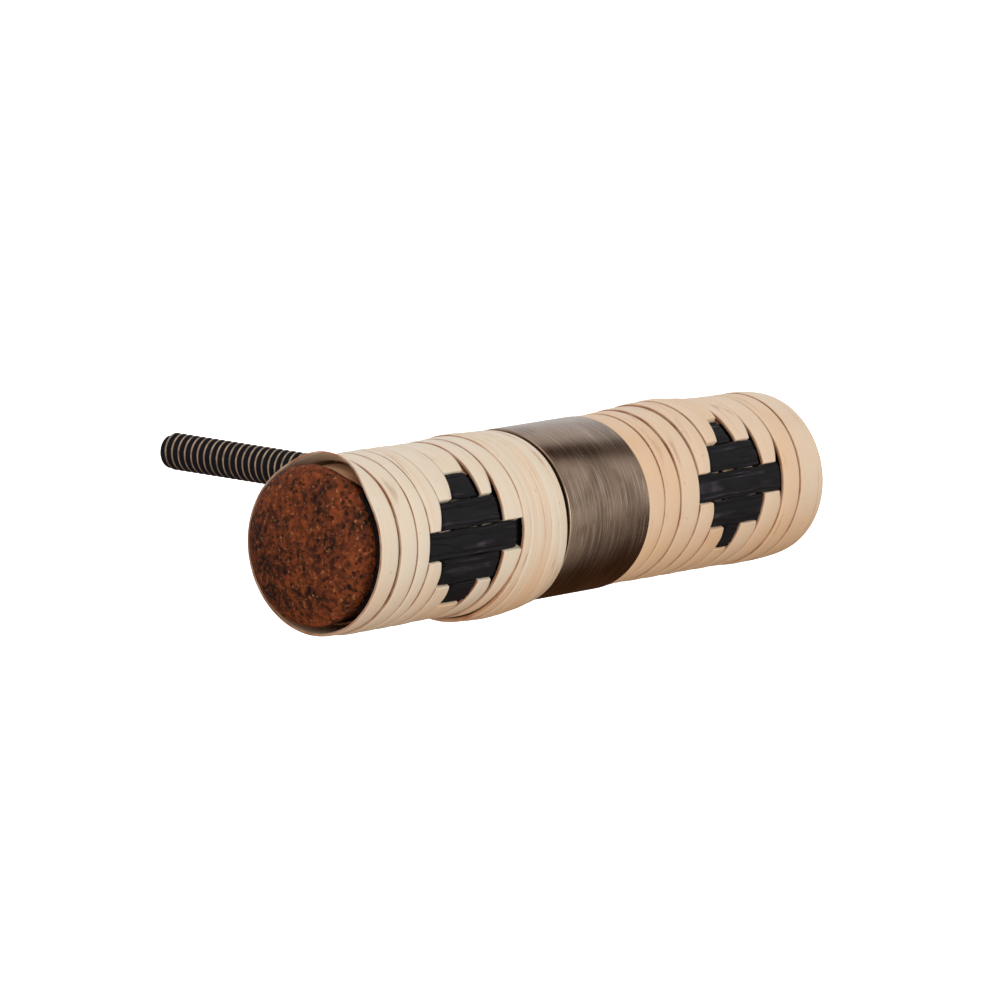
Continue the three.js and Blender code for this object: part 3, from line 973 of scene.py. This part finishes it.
def camera_on(target, azimuth, elevation, roll, distance, lens):
    """A camera that looks at a point. Azimuth 0 looks along +Y, angles in degrees."""
    turn, lift = math.radians(azimuth), math.radians(elevation)
    back = Vector((math.sin(turn) * math.cos(lift), -math.cos(turn) * math.cos(lift), math.sin(lift)))
    right = Vector((math.cos(turn), math.sin(turn), 0.0))
    up = back.cross(right)
    tilt = math.radians(roll)
    level_right = right * math.cos(tilt) + up * math.sin(tilt)
    level_up = up * math.cos(tilt) - right * math.sin(tilt)
    data = bpy.data.cameras.new("view_camera")
    data.lens = lens
    data.clip_end = 50.0
    camera = placed("view_camera", data)
    rotation = Matrix((level_right, level_up, back)).transposed().to_4x4()
    camera.matrix_world = Matrix.Translation(Vector(target) + back * distance) @ rotation
    bpy.context.scene.camera = camera


def soft_light(name, place, target, size, watts):
    data = bpy.data.lights.new(name, "AREA")
    data.shape = "RECTANGLE"
    data.size, data.size_y = size
    data.energy = watts
    lamp = placed(name, data)
    lamp.location = place
    lamp.rotation_euler = (Vector(target) - Vector(place)).to_track_quat("-Z", "Y").to_euler()


def studio_world(sky, table, shade, strength):
    """Even light from above and in front, with a shaded side behind and one dark flag."""
    world = bpy.data.worlds.new("studio")
    bpy.context.scene.world = world
    world.use_nodes = True
    tree = world.node_tree
    shader = tree.nodes["Background"]
    direction = add_node(tree, "ShaderNodeTexCoord").outputs["Generated"]
    apart = add_node(tree, "ShaderNodeSeparateXYZ", {0: direction}).outputs
    forward = plus(tree, times(tree, apart["X"], -0.62), times(tree, apart["Y"], -0.78))
    ground = blend_colour(tree, ramp_mask(tree, forward, -0.35, 0.25), shade, table)
    light = blend_colour(tree, ramp_mask(tree, apart["Z"], -0.22, 0.05), ground, sky)
    off_flag = calc(tree, "ABSOLUTE", plus(tree, apart["Y"], 0.05))
    flag = times(tree, ramp_mask(tree, off_flag, 0.22, 0.1), ramp_mask(tree, apart["X"], 0.3, 0.5))
    flag = times(tree, flag, ramp_mask(tree, apart["Z"], 0.35, 0.5))
    tree.links.new(blend_colour(tree, flag, light, shade), shader.inputs["Color"])
    shader.inputs["Strength"].default_value = strength


def pale_floor(height, size):
    mesh = bpy.data.meshes.new("floor")
    corners = [(-size, -size, height), (size, -size, height), (size, size, height), (-size, size, height)]
    mesh.from_pydata(corners, [], [(0, 1, 2, 3)])
    floor = placed("floor", mesh)
    material, tree, inputs = new_material("pale_floor", Roughness=0.9, Emission_Strength=0.75)
    inputs["Emission Color"].default_value = (1.0, 1.0, 1.0, 1.0)
    place = object_place(tree)
    shade = mottle(tree, place, 3.0, 0.3, 0.7)
    colour = blend_colour(tree, shade, (0.90, 0.90, 0.90), (0.92, 0.92, 0.92))
    tree.links.new(colour, inputs["Base Color"])
    mesh.materials.append(material)
    floor.visible_glossy = False
    floor.visible_diffuse = False


# ---- The add-on ----


def colour_property(name, value, description):
    return FloatVectorProperty(
        name=name, description=description, default=value, subtype="COLOR", size=3, min=0.0, max=1.0
    )


class KnobSizes(bpy.types.PropertyGroup):
    thread_pitch: FloatProperty(
        name="Thread Pitch", description="Rise of the stud's thread in one turn",
        default=0.0010583, unit="LENGTH")
    thread_depth: FloatProperty(
        name="Thread Depth", description="Depth of the thread's groove", default=0.00042, unit="LENGTH")
    tip_rounding: FloatProperty(
        name="Tip Rounding", description="Length of the stud's rounded tip", default=0.0013, unit="LENGTH")
    rings_per_turn: IntProperty(
        name="Rings per Turn", description="How finely the thread is cut", default=12)
    band_strands: IntProperty(
        name="Band Strands", description="Strands in the band beside the collar", default=6)


class KnobColours(bpy.types.PropertyGroup):
    cane_pale: colour_property("Pale Cane", (0.73, 0.61, 0.47), "Cane peel at its palest")
    cane_warm: colour_property("Warm Cane", (0.72, 0.465, 0.28), "Cane peel where it is peach")
    # The edge colour is the cut faces' own colour, and it also serves as painted shade in the seams
    # between turns.
    cane_edge: colour_property("Cane Edge", (0.32, 0.115, 0.042), "The strips' cut edges and splits")
    black_dye: colour_property("Black Dye", (0.0018, 0.0012, 0.002), "The dyed strips")
    black_worn: colour_property("Worn Black", (0.065, 0.052, 0.068), "The dyed strips' raised fibres")
    pole_dark: colour_property("Dark Pole", (0.010, 0.003, 0.001), "The pole's darkest stain")
    pole_mid: colour_property("Brown Pole", (0.21, 0.044, 0.010), "The pole's reddish brown")
    pole_fleck: colour_property("Pole Fleck", (0.50, 0.20, 0.08), "Tan flecks on the pole's end")
    brass: colour_property("Antique Brass", (0.30, 0.205, 0.145), "The collar and post")
    brass_dark: colour_property("Tarnish", (0.10, 0.055, 0.032), "Patches of deeper tarnish")
    brass_scratch: colour_property("Scratches", (0.52, 0.42, 0.34), "Bright scratches in the metal")
    bronze: colour_property("Blackened Bronze", (0.09, 0.07, 0.055), "The washer and nut")
    thread_root: colour_property("Thread Root", (0.012, 0.011, 0.015), "The bottom of the thread")
    # The crest colour is a painted highlight along the thread's crests.
    thread_crest_highlight: colour_property("Thread Crest", (0.40, 0.27, 0.18), "The thread's rubbed crests")


class KnobOperator:
    bl_options = {"REGISTER", "UNDO"}


class KNOB_OT_pole_core(KnobOperator, bpy.types.Operator):
    """Make the stained pole inside the wrap"""

    bl_idname = "knob.pole_core"
    bl_label = "Pole Core"

    def execute(self, context):
        pole_core()
        return {"FINISHED"}


class KNOB_OT_inner_layer(KnobOperator, bpy.types.Operator):
    """Make the inner layer of cane in both halves"""

    bl_idname = "knob.inner_layer"
    bl_label = "Inner Cane Layer"

    def execute(self, context):
        inner_layer(NEAR)
        inner_layer(FAR)
        return {"FINISHED"}


class KNOB_OT_cane_turns(KnobOperator, bpy.types.Operator):
    """Wind the cane turns of both halves"""

    bl_idname = "knob.cane_turns"
    bl_label = "Cane Turns"

    def execute(self, context):
        wound_half(NEAR)
        wound_half(FAR)
        return {"FINISHED"}


class KNOB_OT_cane_band(KnobOperator, bpy.types.Operator):
    """Make the band of cane strands beside the collar"""

    bl_idname = "knob.cane_band"
    bl_label = "Cane Band"

    def execute(self, context):
        band_strands(context.scene.knob_sizes.band_strands)
        return {"FINISHED"}


class KNOB_OT_black_strips(KnobOperator, bpy.types.Operator):
    """Weave the black strips of both diamonds"""

    bl_idname = "knob.black_strips"
    bl_label = "Black Strips"

    def execute(self, context):
        black_strips(NEAR)
        black_strips(FAR)
        return {"FINISHED"}


class KNOB_OT_brass(KnobOperator, bpy.types.Operator):
    """Make the brass collar and its post"""

    bl_idname = "knob.brass"
    bl_label = "Brass Collar and Post"

    def execute(self, context):
        brass_collar()
        brass_post()
        return {"FINISHED"}


class KNOB_OT_threaded_stud(KnobOperator, bpy.types.Operator):
    """Cut the stud's thread"""

    bl_idname = "knob.threaded_stud"
    bl_label = "Threaded Stud"

    def execute(self, context):
        threaded_stud()
        return {"FINISHED"}


class KNOB_OT_washer_and_nut(KnobOperator, bpy.types.Operator):
    """Make the washer and the hexagon nut"""

    bl_idname = "knob.washer_and_nut"
    bl_label = "Washer and Nut"

    def execute(self, context):
        plain_washer()
        hex_nut()
        return {"FINISHED"}


class KNOB_OT_stage(KnobOperator, bpy.types.Operator):
    """Set up the camera, the soft light and the pale floor"""

    bl_idname = "knob.stage"
    bl_label = "Studio"

    def execute(self, context):
        target = Vector((-3.1, BAR_Y + 4.1, 1.0)) * MM
        camera_on(target, azimuth=-52.1, elevation=9.2, roll=1.97, distance=1.1233, lens=327.7)
        white, warm_white, brown = (1.0, 1.0, 1.0), (1.0, 0.97, 0.93), (0.085, 0.036, 0.014)
        studio_world(sky=white, table=warm_white, shade=brown, strength=0.82)
        bar = Vector((0.0, BAR_Y, 0.0)) * MM
        soft_light("top_softbox", (-0.15, -0.1, 0.9), bar, (0.7, 0.7), 1.2)
        soft_light("front_softbox", (-0.5, -0.9, 0.1), bar, (0.6, 0.8), 4.1)
        pale_floor(height=-0.05, size=12.0)
        context.scene.view_settings.view_transform = "Standard"
        return {"FINISHED"}


OPERATORS = (
    KNOB_OT_pole_core,
    KNOB_OT_inner_layer,
    KNOB_OT_cane_turns,
    KNOB_OT_cane_band,
    KNOB_OT_black_strips,
    KNOB_OT_brass,
    KNOB_OT_threaded_stud,
    KNOB_OT_washer_and_nut,
    KNOB_OT_stage,
)


class KNOB_PT_panel(bpy.types.Panel):
    """Lists the knob's pieces in the order they are made"""

    bl_idname = "KNOB_PT_panel"
    bl_label = "Cane-wrapped Knob"
    bl_space_type = "VIEW_3D"
    bl_region_type = "UI"
    bl_category = "Knob"

    def draw(self, context):
        column = self.layout.column()
        for name in KnobSizes.__annotations__:
            column.prop(context.scene.knob_sizes, name)
        for name in KnobColours.__annotations__:
            column.prop(context.scene.knob_colours, name)
        for operator in OPERATORS:
            column.operator(operator.bl_idname)


CLASSES = (KnobSizes, KnobColours, *OPERATORS, KNOB_PT_panel)


def register():
    for cls in CLASSES:
        bpy.utils.register_class(cls)
    bpy.types.Scene.knob_sizes = PointerProperty(type=KnobSizes)
    bpy.types.Scene.knob_colours = PointerProperty(type=KnobColours)


def unregister():
    del bpy.types.Scene.knob_colours
    del bpy.types.Scene.knob_sizes
    for cls in reversed(CLASSES):
        bpy.utils.unregister_class(cls)


def main():
    register()
    bpy.ops.knob.pole_core()
    bpy.ops.knob.inner_layer()
    bpy.ops.knob.cane_turns()
    bpy.ops.knob.cane_band()
    bpy.ops.knob.black_strips()
    bpy.ops.knob.brass()
    bpy.ops.knob.threaded_stud()
    bpy.ops.knob.washer_and_nut()
    bpy.ops.knob.stage()


if __name__ == "__main__":
    main()
